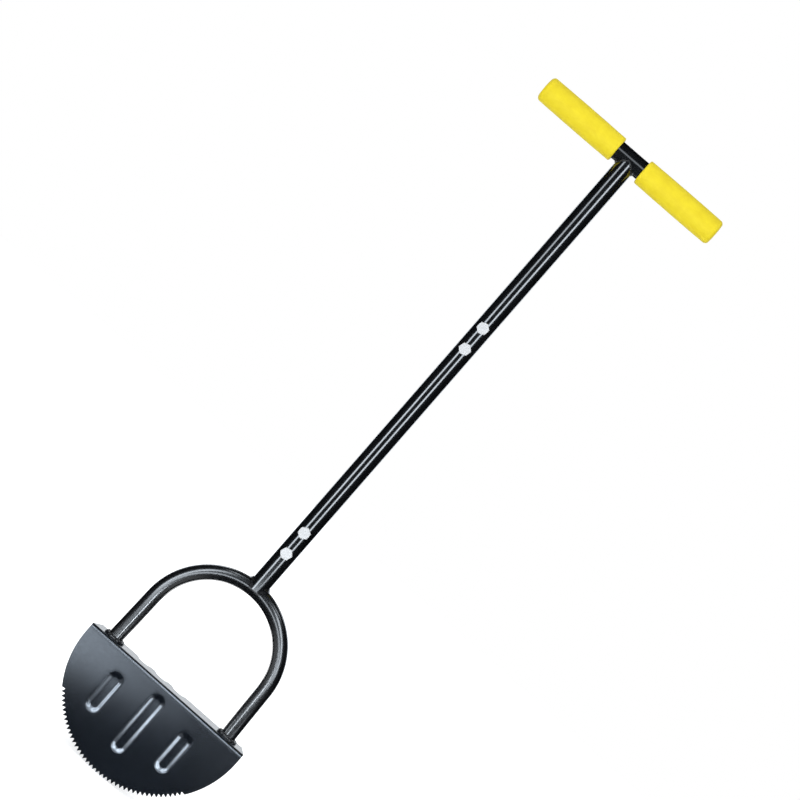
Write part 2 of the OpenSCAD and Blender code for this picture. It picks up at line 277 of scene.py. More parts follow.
def lamp(name, aim, away, distance, width, height, radiance, beam=OPEN_BEAM, along=None):
    """An area lamp that faces its aim; a narrow beam stands for a grid, along turns its width."""
    data = bpy.data.lights.new(name, "AREA")
    data.shape = "RECTANGLE"
    data.size = width
    data.size_y = height
    data.color = LAMP_COLOUR
    half_beam = math.radians(beam) / 2.0
    data.spread = 2.0 * half_beam
    narrowing = 1.0 - half_beam / math.tan(half_beam) if beam < OPEN_BEAM else 1.0
    data.energy = radiance * math.pi * width * height * narrowing
    piece = bpy.data.objects.new(name, data)
    scene.collection.objects.link(piece)
    piece.location = Vector(aim) + away * distance
    piece.rotation_mode = "QUATERNION"
    piece.rotation_quaternion = away.to_track_quat("Z", "Y")
    if along is not None:
        level = piece.rotation_quaternion @ Vector((1.0, 0.0, 0.0))
        lift = piece.rotation_quaternion @ Vector((0.0, 1.0, 0.0))
        turn = math.atan2(along.dot(lift), along.dot(level))
        piece.rotation_quaternion = piece.rotation_quaternion @ Quaternion((0.0, 0.0, 1.0), turn)
    piece.visible_camera = False
    return piece


print("lamp helper ready")

# %% Lamps in front
STRAIGHT_FRONT = -math.degrees(VIEW_AZIMUTH)
LEFT_STRIP_SIDE = -33.0
RIGHT_STRIP_SIDE = 24.0
STRIP = {"distance": 0.95, "width": 0.26}
FACE_PANELS = (3.3, 3.3, 3.1, 2.6, 1.6, 0.9, 0.1)
FACE_PANELS_LEFT = -0.25
FACE_PANELS_TOP = 0.163
FACE_PANEL_TILT = -7.9
FACE_PANEL_TALL = 0.105
FACE_PANEL_SHRINK = 0.009
FACE_PANEL = {"distance": 0.46, "width": 0.05, "beam": 24.0}
BOW_PANEL = {"distance": 0.46, "radiance": 2.9, "beam": 110.0}
LEG_PLACE = 0.092
LEG_HEIGHT = 0.167
LEG_TILT = -7.5
LEG_LAMP = {"distance": 0.6, "width": 0.09, "height": 0.13, "beam": 12.0}
FOLD_PLACE = (-0.04, 0.0, 0.132)
FOLD_LAMP = {"distance": 0.50, "width": 0.36, "height": 0.06, "radiance": 8.0, "beam": 30.0}

left_front = direction(LEFT_STRIP_SIDE, 0.0)
right_front = direction(RIGHT_STRIP_SIDE, 0.0)
lamp("left_strip", (0.0, 0.0, 0.445), left_front, height=0.65, radiance=3.6, **STRIP)
lamp("left_strip_top", (0.0, 0.0, 0.95), left_front, height=0.36, radiance=2.2, **STRIP)
lamp("right_strip", (0.0, 0.0, 0.67), right_front, height=0.90, radiance=3.6, **STRIP)
below_front = direction(STRAIGHT_FRONT, FACE_PANEL_TILT)
for number, radiance in enumerate(FACE_PANELS):
    tall = FACE_PANEL_TALL - FACE_PANEL_SHRINK * number
    across = FACE_PANELS_LEFT + number * FACE_PANEL["width"]
    aim = (across, 0.0, FACE_PANELS_TOP - tall / 2.0)
    lamp("face_panel_%d" % number, aim, below_front, height=tall, radiance=radiance, **FACE_PANEL)
straight = direction(STRAIGHT_FRONT, 0.0)
lamp("left_bow_panel", (-0.125, 0.0, 0.195), straight, width=0.25, height=0.11, **BOW_PANEL)
lamp("right_bow_panel", (0.10, 0.0, 0.20), straight, width=0.20, height=0.10, **BOW_PANEL)
lamp("left_leg_lamp", (-LEG_PLACE, 0.0, LEG_HEIGHT), direction(23.0, LEG_TILT), radiance=22.0, **LEG_LAMP)
lamp("right_leg_lamp", (LEG_PLACE, 0.0, LEG_HEIGHT), direction(-21.0, LEG_TILT), radiance=16.0, **LEG_LAMP)
lamp("fold_lamp", FOLD_PLACE, direction(STRAIGHT_FRONT, 25.0), **FOLD_LAMP)

# %% Lamps on the grips and behind
GRIP_HEIGHT = 0.98
GRIP_LAMP = {"distance": 1.2, "width": 0.50, "height": 0.50, "radiance": 4.8, "beam": 40.0}
GRIP_FILL = {"distance": 1.2, "width": 0.40, "height": 0.40, "radiance": 2.0, "beam": 40.0}
GRIP_FILL_PLACE = 0.08
GRIP_FILL_TILT = -25.0
BAR_LAMP = {"distance": 1.2, "width": 0.50, "height": 0.45, "radiance": 1.2, "beam": 30.0}
PLATE_PLACE = (0.0, 0.0, 0.134)
PLATE_BACK = {"distance": 1.5, "width": 0.80, "height": 0.35, "radiance": 0.65, "beam": 40.0}
TOP_BACK = {"distance": 2.4, "width": 1.2, "height": 0.6, "radiance": 1.6, "beam": 24.0}
PLATE_SIDE = {"distance": 1.5, "width": 0.80, "height": 0.50, "radiance": 0.30, "beam": 30.0}
BACK_STRIP = {"distance": 1.2, "width": 0.40, "height": 1.30, "radiance": 1.6}
SIDES = (("left", -1.0), ("right", 1.0))

for name, side in SIDES:
    lamp(name + "_grip_lamp", (0.0, 0.0, GRIP_HEIGHT), direction(side * 55.0, 50.0), **GRIP_LAMP)
for (name, side), azimuth in zip(SIDES, (LEFT_STRIP_SIDE, RIGHT_STRIP_SIDE)):
    aim = (side * GRIP_FILL_PLACE, 0.0, GRIP_HEIGHT)
    lamp(name + "_grip_fill", aim, direction(azimuth, GRIP_FILL_TILT), **GRIP_FILL)
lamp("bar_lamp", (0.0, 0.0, GRIP_HEIGHT), direction(-3.0, 20.0), **BAR_LAMP)
lamp("plate_back", PLATE_PLACE, direction(180.0, 8.5), **PLATE_BACK)
lamp("top_back", PLATE_PLACE, direction(180.0, 40.0), **TOP_BACK)
for name, side in SIDES:
    lamp(name + "_plate_back", PLATE_PLACE, direction(side * 135.0, 22.0), **PLATE_SIDE)
for name, side in SIDES:
    lamp(name + "_back_strip", (0.0, 0.0, 0.66), direction(side * 153.0, 0.0), **BACK_STRIP)

# %% Lamps for the ribs
RIB_SLOPE = math.radians(29.0)
RIB_LAMPS = 13
RIB_LAMP = {"distance": 0.43, "width": 0.115, "height": 0.09}
RIB_BEAM = 20.0
RIB_BEAM_ABOVE = 12.0
RIB_RADIANCE = 6.0
RIB_RADIANCE_ASIDE = 5.0
RIB_AIM_RIGHT = 0.03
RIB_AIM_HEIGHT = 0.062
RIB_AIM_DROP = 0.017
RIB_TURN_STEP = 0.05
BLADE_MIDDLE = Vector((0.0, 0.0, 0.08))
blade_view = (camera.location - BLADE_MIDDLE).normalized()


def rib_mirror(turn):
    """Where a rib's wall that faces left (0), up (half way) or right (pi) mirrors the camera's sight."""
    wall = Vector((
        -math.sin(RIB_SLOPE) * math.cos(turn),
        -math.cos(RIB_SLOPE),
        math.sin(RIB_SLOPE) * math.sin(turn),
    ))
    return 2.0 * wall.dot(blade_view) * wall - blade_view


for number, turn in enumerate(np.linspace(0.0, math.pi, RIB_LAMPS)):
    aside = abs(math.cos(turn))
    above = math.sin(turn)
    tangent = rib_mirror(turn + RIB_TURN_STEP) - rib_mirror(turn - RIB_TURN_STEP)
    lamp(
        "rib_lamp_%d" % number,
        (RIB_AIM_RIGHT * aside, 0.0, RIB_AIM_HEIGHT - RIB_AIM_DROP * above),
        rib_mirror(turn),
        radiance=RIB_RADIANCE + RIB_RADIANCE_ASIDE * aside,
        beam=RIB_BEAM + RIB_BEAM_ABOVE * above,
        along=tangent.normalized(),
        **RIB_LAMP,
    )
print("rib lamps:", RIB_LAMPS)

# %% [markdown]
# ## Finishes
# Every finish is a small node tree on Object coordinates, so that it stays put on the piece. A
# flat colour would look like plastic; each one gets the grain that the real coat shows: orange peel
# on the tubes, a fine sand texture on the blade, pores in the foam.

# %% Helpers for finishes
def new_finish(name):
    material = bpy.data.materials.new(name)
    material.use_nodes = True
    tree = material.node_tree
    shader = tree.nodes["Principled BSDF"]
    place = tree.nodes.new("ShaderNodeTexCoord")
    return material, tree, shader, place.outputs["Object"]


def noise_field(tree, place, scale, detail=2.0, roughness=0.5):
    field = tree.nodes.new("ShaderNodeTexNoise")
    field.inputs["Scale"].default_value = scale
    field.inputs["Detail"].default_value = detail
    field.inputs["Roughness"].default_value = roughness
    tree.links.new(place, field.inputs["Vector"])
    return field.outputs["Fac"]


def spread(tree, value, low, high, from_low=0.3, from_high=0.7):
    """Maps a field from its usual range onto low to high."""
    span = tree.nodes.new("ShaderNodeMapRange")
    span.inputs["From Min"].default_value = from_low
    span.inputs["From Max"].default_value = from_high
    span.inputs["To Min"].default_value = low
    span.inputs["To Max"].default_value = high
    tree.links.new(value, span.inputs["Value"])
    return span.outputs["Result"]


def two_tones(tree, shader, value, dark, light):
    """Colours the finish from dark to light, as a field says."""
    tones = tree.nodes.new("ShaderNodeMix")
    tones.data_type = "RGBA"
    # The colour sockets go by number, because the node repeats their names for each data type
    tones.inputs[6].default_value = (*dark, 1.0)
    tones.inputs[7].default_value = (*light, 1.0)
    tree.links.new(spread(tree, value, 0.0, 1.0), tones.inputs[0])
    tree.links.new(tones.outputs[2], shader.inputs["Base Color"])


def grain(tree, value, height, strength=1.0, under=None):
    """A bump of that height in metres, on top of another bump where one is given."""
    bump = tree.nodes.new("ShaderNodeBump")
    bump.inputs["Distance"].default_value = height
    bump.inputs["Strength"].default_value = strength
    tree.links.new(value, bump.inputs["Height"])
    if under is not None:
        tree.links.new(under, bump.inputs["Normal"])
    return bump.outputs["Normal"]


print("finish helpers ready")

# %% Black powder coats on the tubes and the bow
def black_coat(name, roughness, coat_roughness):
    """A black powder coat with a faint orange peel; a rougher one spreads its highlights."""
    material, tree, shader, place = new_finish(name)
    cloudy = noise_field(tree, place, scale=35.0, detail=3.0)
    two_tones(tree, shader, cloudy, dark=(0.003, 0.0033, 0.004), light=(0.006, 0.0065, 0.008))
    uneven = noise_field(tree, place, scale=120.0, detail=3.0)
    tree.links.new(spread(tree, uneven, roughness - 0.03, roughness + 0.04), shader.inputs["Roughness"])
    peel = noise_field(tree, place, scale=300.0, detail=1.0)
    tree.links.new(grain(tree, peel, height=0.00001, strength=0.1), shader.inputs["Normal"])
    shader.inputs["Specular IOR Level"].default_value = 1.0
    shader.inputs["Specular Tint"].default_value = (0.88, 0.94, 1.0, 1.0)
    shader.inputs["Coat Weight"].default_value = 1.0
    shader.inputs["Coat Roughness"].default_value = coat_roughness
    shader.inputs["Coat IOR"].default_value = 2.2
    print("made", name)
    return material


tube_coat = black_coat("tube_gloss_black", roughness=0.22, coat_roughness=0.12)
bow_coat = black_coat("bow_satin_black", roughness=0.29, coat_roughness=0.20)

# %% Rough coat over the weld beads
weld_coat, tree, shader, place = new_finish("weld_black")
cloudy = noise_field(tree, place, scale=260.0, detail=3.0)
two_tones(tree, shader, cloudy, dark=(0.006, 0.006, 0.007), light=(0.018, 0.018, 0.020))
tree.links.new(spread(tree, cloudy, 0.22, 0.36), shader.inputs["Roughness"])
spatter = noise_field(tree, place, scale=500.0)
tree.links.new(grain(tree, spatter, height=0.0001, strength=0.25), shader.inputs["Normal"])
shader.inputs["Coat Weight"].default_value = 0.6
shader.inputs["Coat Roughness"].default_value = 0.12
print("made", weld_coat.name)

# %% Satin charcoal coat on the blade
blade_coat, tree, shader, place = new_finish("blade_satin_charcoal")
cloudy = noise_field(tree, place, scale=28.0, detail=4.0, roughness=0.6)
two_tones(tree, shader, cloudy, dark=(0.0043, 0.0063, 0.0095), light=(0.0063, 0.0090, 0.0135))
uneven = noise_field(tree, place, scale=300.0, detail=3.0)
tree.links.new(spread(tree, uneven, 0.19, 0.23), shader.inputs["Roughness"])
slow = grain(tree, noise_field(tree, place, scale=90.0), height=0.0001, strength=0.05)
sand = noise_field(tree, place, scale=1800.0, roughness=0.6)
tree.links.new(grain(tree, sand, height=0.00003, strength=0.12, under=slow), shader.inputs["Normal"])
shader.inputs["IOR"].default_value = 2.0
shader.inputs["Specular IOR Level"].default_value = 0.8
shader.inputs["Specular Tint"].default_value = (0.84, 0.91, 1.0, 1.0)
print("made", blade_coat.name)

# %% Zinc on the fasteners, bare steel inside the joints
zinc_plate, tree, shader, place = new_finish("bright_zinc")
cloudy = noise_field(tree, place, scale=300.0, detail=3.0)
two_tones(tree, shader, cloudy, dark=(0.92, 0.925, 0.93), light=(0.95, 0.955, 0.96))
uneven = noise_field(tree, place, scale=300.0)
tree.links.new(spread(tree, uneven, 0.42, 0.47), shader.inputs["Roughness"])
spangle = noise_field(tree, place, scale=400.0)
tree.links.new(grain(tree, spangle, height=0.00001, strength=0.1), shader.inputs["Normal"])
shader.inputs["Metallic"].default_value = 0.35

drawn_steel, tree, shader, place = new_finish("drawn_steel")
cloudy = noise_field(tree, place, scale=150.0, detail=3.0)
two_tones(tree, shader, cloudy, dark=(0.40, 0.40, 0.41), light=(0.50, 0.50, 0.51))
tree.links.new(spread(tree, cloudy, 0.30, 0.45), shader.inputs["Roughness"])
shader.inputs["Metallic"].default_value = 1.0
print("made", zinc_plate.name, "and", drawn_steel.name)

# %% Yellow foam
foam, tree, shader, place = new_finish("yellow_foam")
cloudy = noise_field(tree, place, scale=70.0, detail=4.0, roughness=0.6)
two_tones(tree, shader, cloudy, dark=(0.92, 0.71, 0.003), light=(1.00, 0.80, 0.009))
pores = tree.nodes.new("ShaderNodeTexVoronoi")
pores.inputs["Scale"].default_value = 900.0
tree.links.new(place, pores.inputs["Vector"])
soft = grain(tree, noise_field(tree, place, scale=260.0, detail=3.0), height=0.0006, strength=0.4)
skin = grain(tree, pores.outputs["Distance"], height=0.0004, strength=0.35, under=soft)
tree.links.new(skin, shader.inputs["Normal"])
shader.inputs["Roughness"].default_value = 0.6
shader.inputs["Specular IOR Level"].default_value = 0.5
shader.inputs["Sheen Weight"].default_value = 0.12
shader.inputs["Sheen Roughness"].default_value = 0.4
print("made", foam.name)

# %% [markdown]
# ## CAD pieces that keep their shape
# The tubes, sleeves, bolts and nuts are exact in CAD, so their objects stay and only take a
# finish: the materials of each mesh are swapped. So does the stub's weld, for its flare. The pieces
# that are made again below are dressed too, so that no CAD piece is left bare.

# %% Dress the CAD pieces
CAD_FINISHES = (
    (bow_coat, ("bow_tube",)),
    (tube_coat, ("stub_tube", "middle_tube", "upper_tube", "crossbar")),
    (drawn_steel, ("lower_sleeve", "upper_sleeve")),
    (zinc_plate, ("lower_joint_bolts", "lower_joint_nuts", "upper_joint_bolts", "upper_joint_nuts")),
    (blade_coat, ("blade",)),
    (weld_coat, ("left_leg_weld", "right_leg_weld", "stub_weld", "crossbar_weld")),
    (foam, ("left_grip", "right_grip")),
)
for finish, node_names in CAD_FINISHES:
    for node_name in node_names:
        mesh = nodes_of_cad[node_name].data
        mesh.materials.clear()
        mesh.materials.append(finish)
print("dressed", sum(len(node_names) for _, node_names in CAD_FINISHES), "CAD pieces")

# %% [markdown]
# ## Sizes
# The modelled pieces take their places from the boxes of the CAD nodes that they stand for. The
# sizes that no box holds, such as the sheet's thickness or the pitch of the teeth, are written
# down once, where they are first needed.

# %% Sizes from the frame
MM = 0.001
blade_low, blade_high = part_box("blade")
blade_radius = blade_high.x
blade_front = blade_low.y
plate_rear = blade_high.y
plate_top = blade_high.z
bow_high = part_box("bow_tube")[1]
bow_tube_radius = bow_high.y
shaft_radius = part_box("middle_tube")[1].x
crossbar_low, crossbar_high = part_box("crossbar")
crossbar_height = (crossbar_low.z + crossbar_high.z) / 2.0
print("blade radius", round(blade_radius, 4), "plate top", round(plate_top, 4))
print("crossbar at", round(crossbar_height, 4))

# %% [markdown]
# ## Helpers for Geometry Nodes
# Three things on this tool repeat or follow a path: the saw teeth, the weld beads and the bolt
# threads. Each is a node tree with named inputs. The helpers build the trees, run them on a small
# starting mesh and keep the result as a plain mesh, because the export drops instances.

# %% Geometry Nodes helpers
def new_tree(name, *inputs):
    tree = bpy.data.node_groups.new(name, "GeometryNodeTree")
    tree.is_modifier = True
    tree.interface.new_socket("Geometry", in_out="INPUT", socket_type="NodeSocketGeometry")
    tree.interface.new_socket("Geometry", in_out="OUTPUT", socket_type="NodeSocketGeometry")
    tree.interface.new_socket("Finish", in_out="INPUT", socket_type="NodeSocketMaterial")
    for title, kind in inputs:
        tree.interface.new_socket(title, in_out="INPUT", socket_type=kind)
    return tree, tree.nodes.new("NodeGroupInput").outputs


def wire(tree, kind, **inputs):
    """A node whose inputs, with spaces as underscores, are set or linked by name."""
    node = tree.nodes.new(kind)
    for title, value in inputs.items():
        socket = node.inputs[title.replace("_", " ")]
        if isinstance(value, bpy.types.NodeSocket):
            tree.links.new(value, socket)
        else:
            socket.default_value = value
    return node


def calc(tree, operation, *values):
    """A math node on numbers and sockets."""
    node = tree.nodes.new("ShaderNodeMath")
    node.operation = operation
    for socket, value in zip(node.inputs, values):
        if isinstance(value, bpy.types.NodeSocket):
            tree.links.new(value, socket)
        else:
            socket.default_value = value
    return node.outputs[0]


def end_tree(tree, given, geometry):
    real = wire(tree, "GeometryNodeRealizeInstances", Geometry=geometry)
    painted = wire(tree, "GeometryNodeSetMaterial", Geometry=real.outputs[0], Material=given["Finish"])
    out = tree.nodes.new("NodeGroupOutput")
    tree.links.new(painted.outputs[0], out.inputs["Geometry"])


def plain_mesh(piece):
    """Freezes a piece's modifiers into its mesh."""
    ready = piece.evaluated_get(bpy.context.evaluated_depsgraph_get())
    made = bpy.data.meshes.new_from_object(ready)
    piece.modifiers.clear()
    piece.data = made
    made.name = piece.name


def run_tree(name, tree, points, edges, **settings):
    """Runs a tree on a starting mesh; settings are its inputs, with underscores for spaces."""
    start = bpy.data.meshes.new(name)
    start.from_pydata(points, edges, [])
    piece = bpy.data.objects.new(name, start)
    scene.collection.objects.link(piece)
    modifier = piece.modifiers.new(name, "NODES")
    modifier.node_group = tree
    for socket in tree.interface.items_tree:
        title = socket.name.replace(" ", "_")
        if socket.in_out == "INPUT" and title in settings:
            modifier[socket.identifier] = settings[title]
    plain_mesh(piece)
    return piece


print("geometry helpers ready")

# %% [markdown]
# ## Saw teeth
# The teeth of the real blade are punched one after another along the half round. They could be
# cut with a row of boolean wedges. An index rule draws the same row in one go: each notch has four
# corners, and every corner finds its place from its number. The result is an open line of points
# that becomes the lower part of the blade's outline.

# %% Tooth row
TOOTH_PITCH = 5.8 * MM
TOOTH_DEPTH = 4.0 * MM
TOOTH_TIP = 0.5 * MM
TOOTH_ROOT = 0.8 * MM
TOOTH_ARC = math.radians(110.0)
NOTCH_CORNERS = 4.0
tooth_count = int(TOOTH_ARC * blade_radius / TOOTH_PITCH)

tree, given = new_tree(
    "tooth_row",
    ("Count", "NodeSocketInt"),
    ("Radius", "NodeSocketFloat"),
    ("Pitch", "NodeSocketFloat"),
    ("Depth", "NodeSocketFloat"),
    ("Mouth", "NodeSocketFloat"),
    ("Root", "NodeSocketFloat"),
)
line = wire(tree, "GeometryNodeMeshLine", Count=calc(tree, "MULTIPLY", given["Count"], NOTCH_CORNERS))
index = tree.nodes.new("GeometryNodeInputIndex").outputs[0]
notch = calc(tree, "FLOOR", calc(tree, "DIVIDE", index, NOTCH_CORNERS))
number = calc(tree, "FLOORED_MODULO", index, NOTCH_CORNERS)
corner = calc(tree, "SUBTRACT", number, (NOTCH_CORNERS - 1.0) / 2.0)
at_root = calc(tree, "LESS_THAN", calc(tree, "ABSOLUTE", corner), 1.0)
narrowing = calc(tree, "SUBTRACT", given["Root"], given["Mouth"])
width = calc(tree, "MULTIPLY_ADD", narrowing, at_root, given["Mouth"])
sideways = calc(tree, "MULTIPLY", calc(tree, "SIGN", corner), calc(tree, "MULTIPLY", width, 0.5))
radius_squared = calc(tree, "POWER", given["Radius"], 2.0)
square = calc(tree, "SUBTRACT", radius_squared, calc(tree, "POWER", sideways, 2.0))
cut = calc(tree, "MULTIPLY", given["Depth"], at_root)
reach = calc(tree, "SUBTRACT", calc(tree, "SQRT", square), cut)
middle_notch = calc(tree, "MULTIPLY", calc(tree, "SUBTRACT", given["Count"], 1.0), 0.5)
step = calc(tree, "DIVIDE", given["Pitch"], given["Radius"])
turn = calc(tree, "MULTIPLY", calc(tree, "SUBTRACT", notch, middle_notch), step)
cosine = calc(tree, "COSINE", turn)
sine = calc(tree, "SINE", turn)
across = calc(tree, "MULTIPLY_ADD", reach, sine, calc(tree, "MULTIPLY", sideways, cosine))
straight_drop = calc(tree, "MULTIPLY", reach, cosine)
drop = calc(tree, "SUBTRACT", straight_drop, calc(tree, "MULTIPLY", sideways, sine))
rise = calc(tree, "SUBTRACT", given["Radius"], drop)
place = wire(tree, "ShaderNodeCombineXYZ", X=across, Z=rise)
moved = wire(tree, "GeometryNodeSetPosition", Geometry=line.outputs[0], Position=place.outputs[0])
end_tree(tree, given, moved.outputs[0])

row = run_tree(
    "tooth_row", tree, [(0.0, 0.0, 0.0)], [],
    Finish=blade_coat, Count=tooth_count, Radius=blade_radius, Pitch=TOOTH_PITCH,
    Depth=TOOTH_DEPTH, Mouth=TOOTH_PITCH - TOOTH_TIP, Root=TOOTH_ROOT,
)
tooth_line = [(v.co.x, v.co.z) for v in row.data.vertices]
bpy.data.objects.remove(row)
print("teeth:", tooth_count, "notches,", len(tooth_line), "corners")

# %% [markdown]
# ## Blade blank
# The real blade starts as a flat blank: the outline is cut, then the press forms the ribs and the
# brake folds the foot plate. The mesh is made in the same order. First comes the flat outline,
# with the fold and the plate still straight above the blade; the height is then the distance along
# the sheet. Later a formula bends it, so the sheet keeps its length round the fold.

# %% Outline of the flat blank
SHEET = 2.0 * MM
FOLD_INSIDE = 2.0 * MM
FOLD_STEPS = 8
PLATE_TAPER = 8.0 * MM
SCALLOP_MIDDLE = -17.5 * MM
SCALLOP_PITCH = 28.0 * MM
SCALLOP_DEPTH = 13.0 * MM
SCALLOP_FLOOR = 8.5 * MM
SCALLOP_MOUTH = 22.5 * MM
SCALLOP_FLARE = math.radians(27.0)
EDGE_SPACING = 2.0 * MM
SAME_POINT = 0.02 * MM

fold_radius = FOLD_INSIDE + SHEET / 2.0
fold_start = plate_top - FOLD_INSIDE - SHEET
fold_end = fold_start + fold_radius * math.pi / 2.0
plate_start = blade_front + FOLD_INSIDE + SHEET
blank_top = fold_end + plate_rear - plate_start


def arc_points(middle, radius, start, end):
    count = max(2, round(abs(end - start) * radius / EDGE_SPACING))
    turns = np.linspace(start, end, count + 1)
    return [(middle[0] + radius * math.cos(t), middle[1] + radius * math.sin(t)) for t in turns]


def straight_points(start, end):
    count = max(1, round(math.dist(start, end) / EDGE_SPACING))
    return [tuple(p) for p in np.linspace(start, end, count + 1)]


def scallop_points(middle):
    """One scallop from its right lip to its left lip: two flared lips and a round floor."""
    slope = math.tan(SCALLOP_FLARE)
    mouth = SCALLOP_MOUTH / 2.0
    centre = SCALLOP_DEPTH - SCALLOP_FLOOR
    a = 1.0 + slope * slope
    b = mouth * slope + centre
    c = mouth * mouth + centre * centre - SCALLOP_FLOOR * SCALLOP_FLOOR
    depth = (b - math.sqrt(b * b - a * c)) / a
    start = math.atan2(centre - depth, mouth - slope * depth)
    floor_arc = arc_points((middle, blank_top - centre), SCALLOP_FLOOR, start, -math.pi - start)
    right_lip = straight_points((middle + mouth, blank_top), floor_arc[0])
    left_lip = straight_points(floor_arc[-1], (middle - mouth, blank_top))
    return right_lip + floor_arc + left_lip


last_tooth = math.atan2(tooth_line[-1][1] - blade_radius, tooth_line[-1][0])
rear_corner = (blade_radius - PLATE_TAPER, blank_top)
fold_rows = np.linspace(fold_start, fold_end, FOLD_STEPS + 1)
right_side = arc_points((0.0, blade_radius), blade_radius, last_tooth, 0.0)
right_side += straight_points((blade_radius, blade_radius), (blade_radius, fold_start))
right_side += [(blade_radius, v) for v in fold_rows]
right_side += straight_points((blade_radius, fold_end), rear_corner)
rear_edge = [rear_corner]
for place in (1, 0, -1):
    rear_edge += scallop_points(SCALLOP_MIDDLE + place * SCALLOP_PITCH)
left_side = [(-x, v) for x, v in reversed(right_side)]
outline = []
for point in tooth_line + right_side + rear_edge + left_side:
    if not outline or math.dist(point, outline[-1]) > SAME_POINT:
        outline.append(point)
if math.dist(outline[0], outline[-1]) < SAME_POINT:
    outline.pop()
print("outline:", len(outline), "points, blank", round(blank_top / MM, 1), "mm high")

# %% [markdown]
# ## Ribs and fold
# Three ribs are pressed into the blade to stiffen it. A displacement texture could fake them, but
# they are real hollows, so the points of the blank are laid where they are needed: in rings round
# each rib, in rows along the fold, and in a wide grid elsewhere. A triangulation joins them inside
# the outline, a smooth step pushes each point back by its distance from the nearest rib, and the
# fold formula bends the plate. A Solidify modifier gives the sheet its thickness.

# %% Points inside the outline
RIB_WIDTH = 20.0 * MM
RIB_FLOOR = 10.0 * MM
RIB_DEPTH = 3.0 * MM
RIB_SOFT = 1.2 * MM
RIB_RINGS = 14
RIB_TURN_STEPS = 26
MIDDLE_RIB_TOP = 12.0 * MM
MIDDLE_RIB_FOOT = 100.0 * MM
SIDE_RIB_TOP = 25.0 * MM
SIDE_RIB_FOOT = 83.0 * MM
SIDE_RIB_OFFSET = 55.5 * MM
GRID = 6.0 * MM
RING_SPACING = 1.5 * MM
EDGE_GAP = 1.8 * MM
rib_outside = RIB_WIDTH / 2.0 + RIB_SOFT
rib_inside = RIB_FLOOR / 2.0 - RIB_SOFT


def rib_line(place, top, foot):
    """A rib's middle line: its place across and the heights of its ends, measured down from the plate."""
    return place, plate_top - foot + RIB_WIDTH / 2.0, plate_top - top - RIB_WIDTH / 2.0


def rib_distance(points, rib):
    """Distance of each point from the rib's middle line."""
    place, low, high = rib
    nearest = np.clip(points[:, 1], low, high)
    return np.hypot(points[:, 0] - place, points[:, 1] - nearest)


def ring_round(rib, radius):
    """Points round a rib at one distance from its middle line."""
    place, low, high = rib
    turns = np.linspace(0.0, math.pi, RIB_TURN_STEPS + 1)
    top = [(place + radius * math.cos(t), high + radius * math.sin(t)) for t in turns]
    bottom = [(place + radius * math.cos(t), low - radius * math.sin(t)) for t in turns]
    steps = max(1, round((high - low) / RING_SPACING))
    sides = []
    for height in np.linspace(low, high, steps + 1)[1:-1]:
        sides += [(place - radius, height), (place + radius, height)]
    return top + bottom + sides


ribs = [
    rib_line(0.0, MIDDLE_RIB_TOP, MIDDLE_RIB_FOOT),
    rib_line(SIDE_RIB_OFFSET, SIDE_RIB_TOP, SIDE_RIB_FOOT),
    rib_line(-SIDE_RIB_OFFSET, SIDE_RIB_TOP, SIDE_RIB_FOOT),
]
inner = []
for rib in ribs:
    for radius in np.linspace(rib_inside, rib_outside, RIB_RINGS):
        inner += ring_round(rib, radius)
    place, low, high = rib
    inner += [(place, v) for v in np.arange(low, high, 2.0 * RING_SPACING)]
columns = np.arange(GRID - blade_radius, blade_radius, GRID)
rows = list(np.arange(GRID, fold_start - GRID / 2.0, GRID)) + list(fold_rows)
rows += list(np.arange(fold_end + GRID / 2.0, blank_top, GRID))
grid = np.array([(x, v) for v in rows for x in columns])
far_from_ribs = np.min([rib_distance(grid, rib) for rib in ribs], axis=0) > rib_outside + RING_SPACING
inner = np.concatenate([np.array(inner), grid[far_from_ribs]])
gaps = np.min(np.linalg.norm(inner[:, None, :] - np.array(outline)[None, :, :], axis=2), axis=1)
inner = inner[gaps > EDGE_GAP]
print("inner points:", len(inner))

# %% Blank, ribs, fold and thickness
INSIDE_ONLY = 1
MERGE_DISTANCE = 1e-6
SHARP_EDGE = math.radians(40.0)

corners = [Vector(p) for p in outline] + [Vector(p) for p in inner]
loop = [(i, (i + 1) % len(outline)) for i in range(len(outline))]
flat_points, _, flat_faces, *_ = delaunay_2d_cdt(corners, loop, [], INSIDE_ONLY, MERGE_DISTANCE)
flat = np.array([tuple(p) for p in flat_points])
near = np.min([rib_distance(flat, rib) for rib in ribs], axis=0)
share = np.clip((rib_outside - near) / (rib_outside - rib_inside), 0.0, 1.0)
press = RIB_DEPTH * share * share * (3.0 - 2.0 * share)
bend = np.clip((flat[:, 1] - fold_start) / fold_radius, 0.0, math.pi / 2.0)
beyond = np.maximum(flat[:, 1] - fold_end, 0.0)
depth = blade_front + SHEET / 2.0 + fold_radius * (1.0 - np.cos(bend)) + beyond + press
height = np.minimum(flat[:, 1], fold_start) + fold_radius * np.sin(bend)
formed = np.stack([flat[:, 0], depth, height], axis=1)

blade_mesh = bpy.data.meshes.new("pressed_blade")
blade_mesh.from_pydata(formed.tolist(), [], flat_faces)
blade_mesh.materials.append(blade_coat)
pressed_blade = bpy.data.objects.new("pressed_blade", blade_mesh)
scene.collection.objects.link(pressed_blade)
thickness = pressed_blade.modifiers.new("sheet", "SOLIDIFY")
thickness.thickness = SHEET
thickness.offset = 0.0
thickness.use_even_offset = True
plain_mesh(pressed_blade)
pressed_blade.data.shade_smooth()
pressed_blade.data.set_sharp_from_angle(angle=SHARP_EDGE)
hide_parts("blade")
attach(pressed_blade, "root")
print("blade:", len(pressed_blade.data.polygons), "faces")

